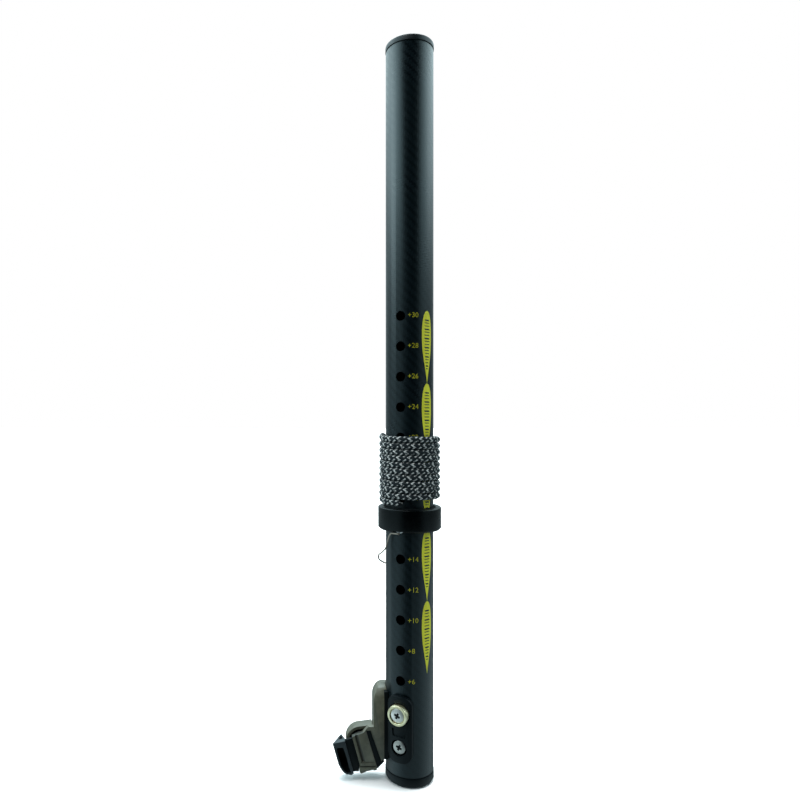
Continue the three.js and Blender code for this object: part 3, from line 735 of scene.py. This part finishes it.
def cross_cutters(place, axis, reach, depth, turn):
    """The two tapered arms of a Phillips recess, below the point at place on the axis."""
    spin = UP.rotation_difference(axis).to_matrix().to_4x4()
    above = 0.4
    levels = ((above, reach * 1.05, reach * 0.36), (-depth, reach * 0.45, reach * 0.24))
    corners = ((-1, -1), (1, -1), (1, 1), (-1, 1))
    arms = []
    for angle in (turn, turn + math.pi / 2):
        bm = bmesh.new()
        along = Vector((math.cos(angle), math.sin(angle), 0))
        across = Vector((-math.sin(angle), math.cos(angle), 0))
        ends = []
        for height, length, width in levels:
            lift = Vector((0, 0, height))
            ends.append([bm.verts.new((along * a * length + across * b * width + lift) * MM)
                         for a, b in corners])
        top, bottom = ends
        bm.faces.new(top)
        bm.faces.new(bottom)
        for k in range(4):
            n = (k + 1) % 4
            bm.faces.new((top[k], top[n], bottom[n], bottom[k]))
        bmesh.ops.transform(bm, matrix=spin, verts=bm.verts)
        bmesh.ops.translate(bm, vec=place, verts=bm.verts)
        arms.append(new_object("cutter", mesh_of("cutter", bm)))
    return arms


def phillips(node, material, recess_dark, face, head, shank_end, height):
    """A pan-head Phillips screw along the button's axis, facing out, with the faces of its recess darker.

    face and shank_end are its two ends, head is its head's radius and height is its head's height.
    """
    place = Vector((AXIS.x, AXIS.y, middle(node).z))
    points = [(0, shank_end), (SHANK_R, shank_end), (SHANK_R, face - height), (head, face - height),
              (head, face - HEAD_CROWN), (head * 0.55, face - 0.08), (0, face)]
    profile = rounded(points, [0, 0, 0, 0, 0.45, head * 0.3, 0], 5)
    screw = turned(node + "_shape", profile, place, LOCK_AXIS, 96)
    tip = place + LOCK_AXIS * face * MM
    cut_by(screw, cross_cutters(tip, LOCK_AXIS, RECESS, RECESS_DEPTH, RECESS_TURN))
    dress(screw, material)
    screw.data.materials.append(recess_dark)
    for polygon in screw.data.polygons:  # the recess's faces are deep or steep
        from_tip = (polygon.center - tip) / MM
        depth = -from_tip.dot(LOCK_AXIS)
        steep = polygon.normal.dot(LOCK_AXIS) < 0.85
        near_axis = (from_tip + LOCK_AXIS * depth).length < 1.12 * RECESS
        if near_axis and depth < RECESS_DEPTH + 0.2 and (depth > 0.5 or steep):
            polygon.material_index = 1
    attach(screw, NODES[node]["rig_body"])
    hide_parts(node)


BUTTON_FACE, BUTTON_BACK = 21.84, 17.0  # the two ends of the knurled cup
BUTTON_R = 6.75
WELL_R, WELL_DEPTH = 5.0, 1.9  # round the screw's head
STEM_R, STEM_END = 3.5, 13.95
KNURL_TEETH = 46
KNURL_DEPTH = 0.16
KNURL_SLOPE = 2.3  # radians for each mm along the axis


def knurl(turn, radius, along):
    """A diamond knurl on the button's side: two crossing sets of grooves."""
    if radius < BUTTON_R - 0.01 or not BUTTON_BACK < along < BUTTON_FACE - 0.8:
        return 0.0
    wave = KNURL_TEETH * turn / 2
    slope = along * KNURL_SLOPE
    return -KNURL_DEPTH * max(abs(math.cos(wave + slope)), abs(math.cos(wave - slope))) ** 6


def button(material):
    """The release button: a knurled brass cup round the head of its screw."""
    place = Vector((AXIS.x, AXIS.y, middle("release_button").z))
    stem = [(0, STEM_END), (STEM_R, STEM_END), (STEM_R, BUTTON_BACK), (BUTTON_R - 0.5, BUTTON_BACK)]
    rows = 14
    low, high = BUTTON_BACK + 0.25, BUTTON_FACE - 0.85
    side = [(BUTTON_R, low + (high - low) * k / rows) for k in range(rows + 1)]
    lip = rounded([(BUTTON_R, high), (BUTTON_R - 0.1, BUTTON_FACE), (WELL_R, BUTTON_FACE),
                   (WELL_R, BUTTON_FACE - WELL_DEPTH), (0, BUTTON_FACE - WELL_DEPTH)], [0, 0.75, 0.35, 0, 0])
    cup = turned("release_button_shape", stem + side + lip, place, LOCK_AXIS, KNURL_TEETH * 8, knurl)
    dress(cup, material)
    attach(cup, "button")
    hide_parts("release_button")


# ---------- the block ----------
LEAN = math.tan(math.radians(15.5))  # how far the block's ribs lean, per unit of height
BLOCK_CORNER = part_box("cleat_body")[1].z


def across_block(point):
    """How far across the block a point lies, in mm from the tube's axis; a leaning rib has one value."""
    return (point.x - AXIS.x + LEAN * (point.z - BLOCK_CORNER)) / MM


CLEAT_ARM = -44.0  # mm across, where the arm starts
THROAT_LEFT, THROAT_RIGHT = -51.7, -45.3  # mm across
THROAT_FRONT, THROAT_BACK = -6.5 * MM, 3.3 * MM
THROAT_TOP = BLOCK_CORNER - 4 * MM
WEDGE_BOTTOM = 19.5 * MM


def cleat(material, dark):
    """The cleat, with painted shade on its throat and on the arm beside it, given as a second, dark
    material.
    """
    piece = refined("cleat_body", 0.45)
    dress(piece, material)
    piece.data.materials.append(dark)
    for polygon in piece.data.polygons:
        center = polygon.center
        across = across_block(center)
        on_arm = across > CLEAT_ARM
        in_throat = (THROAT_LEFT < across < THROAT_RIGHT and THROAT_FRONT < center.y < THROAT_BACK
                     and center.z < THROAT_TOP)
        outside = polygon.normal.y > 0.3 or abs(center.z - WEDGE_BOTTOM) < 0.1 * MM
        # painted shade: the throat's faces and the arm take the dark second material
        if on_arm or in_throat and not outside:
            polygon.material_index = 1


GROOVE_LEFT, GROOVE_RIGHT = -37.0, -34.0  # mm across
GROOVE_NEAR, GROOVE_FAR = 0.1 * MM, 1.4 * MM  # behind the cheek's face
GROOVE_BOTTOM, GROOVE_TOP = 14 * MM, 31 * MM


def bracket(material, shaded):
    """The slab and the near cheek, whose leaning groove is given painted shade in a darker olive."""
    piece = refined("bracket", 0.5)
    dress(piece, material)
    piece.data.materials.append(shaded)
    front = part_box("bracket")[0].y
    for polygon in piece.data.polygons:
        center = polygon.center
        within = GROOVE_LEFT < across_block(center) < GROOVE_RIGHT and GROOVE_BOTTOM < center.z < GROOVE_TOP
        # painted shade: the groove's faces take the darker olive
        if within and GROOVE_NEAR < center.y - front < GROOVE_FAR:
            polygon.material_index = 1


SADDLE_SQUEEZE = 0.28 * MM
CLIP_THINNING = 0.2 * MM


def saddle(material):
    """The rubber saddle, squeezed out until it meets the slab."""
    piece = refined("bracket_pad", 0.3)
    slab_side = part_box("bracket_pad")[0].x
    for vertex in piece.data.vertices:
        if vertex.co.x < slab_side + 0.5 * MM:
            vertex.co.x -= SADDLE_SQUEEZE
    dress(piece, material)


def clip_wire(material):
    """The collar's clip, in a wire a little thinner than the CAD model's."""
    piece = refined("clip_wire", 0.02)
    for vertex in piece.data.vertices:
        vertex.co -= vertex.normal * CLIP_THINNING
    dress(piece, material)


# ---------- assembly ----------
def studio_floor():
    bm = bmesh.new()
    half = 8.0  # metres
    corners = ((-half, -half), (half, -half), (half, half), (-half, half))
    bm.faces.new([bm.verts.new((x, y, 0)) for x, y in corners])
    floor = new_object("studio_floor", mesh_of("studio_floor", bm))
    dress(floor, floor_paint())
    floor.visible_diffuse = floor.visible_glossy = False  # a dark part keeps its own tone
    return floor


def add_light(name, kind, place, target, energy, color=(1, 1, 1)):
    data = bpy.data.lights.new(name, kind)
    data.energy = energy
    data.color = color
    light = bpy.data.objects.new(name, data)
    light.location = place
    light.rotation_euler = (Vector(target) - Vector(place)).to_track_quat("-Z", "Y").to_euler()
    bpy.context.scene.collection.objects.link(light)
    return light


def softbox(name, place, target, size, energy, color=(1, 1, 1)):
    light = add_light(name, "AREA", place, target, energy, color)
    light.data.shape = "RECTANGLE"
    light.data.size, light.data.size_y = size
    return light


def shine_only_on(light, pieces):
    """The light leaves everything but these pieces dark."""
    lit = bpy.data.collections.new(light.name + "_lit")
    for piece in pieces:
        lit.objects.link(piece)
    light.light_linking.receiver_collection = lit


def surroundings():
    """Light from all round: dark straight ahead of the part, brightest high on both sides.

    The background itself is white.
    """
    world = bpy.data.worlds.new("studio")
    world.use_nodes = True
    bpy.context.scene.world = world
    nodes, links = world.node_tree.nodes, world.node_tree.links
    direction = nodes.new("ShaderNodeSeparateXYZ")
    links.new(nodes.new("ShaderNodeTexCoord").outputs["Generated"], direction.inputs[0])

    def ramp(socket, low, high, to_low, to_high):
        """A smooth step from to_low at low to to_high at high."""
        node = nodes.new("ShaderNodeMapRange")
        node.interpolation_type = "SMOOTHSTEP"
        links.new(socket, node.inputs[0])
        for slot, number in zip(node.inputs[1:5], (low, high, to_low, to_high)):
            slot.default_value = number
        return node.outputs[0]

    def combine(operation, first, second):
        node = nodes.new("ShaderNodeMath")
        node.operation = operation
        links.new(first, node.inputs[0])
        links.new(second, node.inputs[1])
        return node.outputs[0]

    aside = nodes.new("ShaderNodeMath")
    aside.operation = "ABSOLUTE"
    links.new(direction.outputs[0], aside.inputs[0])
    toward_back, up = direction.outputs[1], direction.outputs[2]
    ahead = ramp(up, -0.52, -0.25, 0.42, 0.0)
    behind = combine("ADD", ramp(up, -0.45, 0.3, 0.2, 0.6), ramp(up, 0.3, 0.6, 0.0, 1.6))
    sides = combine("ADD", ramp(up, -0.45, -0.1, 0.95, 0.36), ramp(up, 0.17, 0.58, 0.0, 3.3))
    sides = combine("MULTIPLY", sides, ramp(direction.outputs[0], -0.5, 0.5, 1.0, 0.72))
    at_side = ramp(aside.outputs[0], 0.42, 0.85, 0.0, 1.0)
    not_side = ramp(aside.outputs[0], 0.42, 0.85, 1.0, 0.0)
    at_back = ramp(toward_back, -0.2, 0.6, 0.0, 1.0)
    in_front = ramp(toward_back, -0.2, 0.6, 1.0, 0.0)
    fore_and_aft = combine("ADD", combine("MULTIPLY", ahead, in_front), combine("MULTIPLY", behind, at_back))
    from_sides, from_rest = combine("MULTIPLY", sides, at_side), combine("MULTIPLY", fore_and_aft, not_side)
    around, seen = nodes["Background"], nodes.new("ShaderNodeBackground")
    around.inputs[0].default_value = (0.74, 0.95, 1, 1)
    links.new(combine("ADD", from_sides, from_rest), around.inputs[1])
    seen.inputs[0].default_value = (1, 1, 1, 1)
    mix = nodes.new("ShaderNodeMixShader")
    links.new(nodes.new("ShaderNodeLightPath").outputs["Is Camera Ray"], mix.inputs[0])
    links.new(around.outputs[0], mix.inputs[1])
    links.new(seen.outputs[0], mix.inputs[2])
    links.new(mix.outputs[0], nodes["World Output"].inputs[0])


def lights(floor):
    """Softboxes high beside the part, above it and in front, and one light for the floor alone."""
    part = (AXIS.x, 0, 0.25)
    cool = (0.9, 0.98, 1)
    for name, place, size, energy in (("side_left", (-1.0, 0.1, 0.98), (0.6, 0.5), 1.5),
                                      ("side_right", (1.05, 0.1, 0.98), (0.6, 0.5), 0.7),
                                      ("overhead", (-0.1, 0.45, 1.4), (0.8, 0.6), 9)):
        softbox(name, place, part, size, energy, cool)
    front = softbox("front_high", (-0.5, -0.8, 1.7), part, (0.6, 0.6), 7)
    shine_only_on(front, [piece for piece in bpy.context.scene.objects
                          if piece.type == "MESH" and piece.name != "carbon_tube_shape"])
    floor_light = add_light("floor_light", "SUN", (0.3, 0.4, 3), (0, 0, 0), 4.4)
    floor_light.data.angle = math.radians(50)
    shine_only_on(floor_light, [floor])
    surroundings()
    bpy.context.scene.view_settings.view_transform = "Standard"


make_camera()
downhaul_line()

BLACK = moulded("black_nylon", (0.003, 0.006, 0.008), 0.4)
DULL = moulded("dull_black_nylon", (0.002, 0.0045, 0.006), 0.44, wear=0.04, gloss=0.25)
MATT = moulded("matt_black_nylon", (0.0008, 0.0018, 0.0022), 0.28, wear=0.1, gloss=0.24)
OLIVE = moulded("olive_nylon", (0.145, 0.142, 0.104), 0.33, wear=0.3)
# a shaded copy of the olive, painted shade for the cheek's groove
OLIVE_DARK = moulded("olive_nylon_shaded", (0.055, 0.055, 0.042), 0.4, wear=0.0)
CLEAT = moulded("cleat_nylon", (0.030, 0.038, 0.044), 0.36, wear=0.8)
# black rubber for the rubber parts; on the cleat it is painted shade on the throat and arm
BLACK_RUBBER_AND_SHADE = moulded("black_rubber_and_painted_shade", (0.002, 0.004, 0.005), 0.6, grain=0.02, wear=0.1, gloss=0.25)
SHEAVE = moulded("black_acetal", (0.006, 0.008, 0.009), 0.4, wear=0.1)
STEEL = metal("drawn_steel", (0.62, 0.63, 0.64), 0.28)
BRIGHT = metal("bright_zinc", (0.88, 0.88, 0.85), 0.32, spread=0.2)
ZINC = metal("dull_zinc", (0.60, 0.60, 0.57), 0.34, spread=0.2)
# a darker colour for the deep and steep faces of the screws' recesses
RECESS_DARK = moulded("recess_dark_faces", (0.012, 0.014, 0.014), 0.6, wear=0.0)
WIRE = metal("clip_wire_steel", (0.50, 0.44, 0.38), 0.34)
# painted shade: the leaf spring is coloured near black to stand for the shade over it
SPRING_SHADE = metal("spring_painted_shade", (0.05, 0.055, 0.06), 0.5)
BRASS = pale_brass()
YELLOW = yellow_ink("decal_yellow", (0.90, 0.81, 0.025), (1.0, 0.95, 0.04))
OCHRE = yellow_ink("number_yellow", (0.50, 0.44, 0.02), (0.66, 0.58, 0.03))
MARK = moulded("decal_mark", (0.02, 0.024, 0.02), 0.5, wear=0.0)

tube(carbon())
height_numbers(OCHRE)
teardrops(YELLOW, MARK)
caps(BLACK)
collar(MATT, BLACK_RUBBER_AND_SHADE)

button(BRASS)
phillips("button_screw", BRIGHT, RECESS_DARK, face=21.66, head=4.6, shank_end=12.0, height=1.4)
phillips("spring_screw", ZINC, RECESS_DARK, face=18.5, head=4.3, shank_end=10.2, height=1.2)

# the second material paints shade on the cleat's throat and arm
cleat(CLEAT, BLACK_RUBBER_AND_SHADE)
bracket(OLIVE, OLIVE_DARK)
saddle(BLACK_RUBBER_AND_SHADE)
clip_wire(WIRE)
for node, width, material, slot in (
        ("base_socket", 0.3, DULL, "black_plastic"),
        ("release_housing", 0.9, DULL, "black_plastic"),
        ("sheave_guard", 0.5, OLIVE, "block"),
        ("cheek_inlay", 0.15, BLACK_RUBBER_AND_SHADE, "rubber"),
        ("sheave", 0.2, SHEAVE, "sheave"),
        ("sheave_axle", 0.3, STEEL, "steel"),
        ("lock_pin", 0.3, STEEL, "steel")):
    dress(refined(node, width), material)
for node, material in (("leaf_spring", SPRING_SHADE), ("latch_plate", STEEL), ("sheave_bush", BRASS),
                       ("block_screw_1", STEEL), ("block_screw_2", STEEL),
                       ("bracket_screw_1", STEEL), ("bracket_screw_2", STEEL)):
    NODES[node].data.materials.clear()
    NODES[node].data.materials.append(material)

lights(studio_floor())
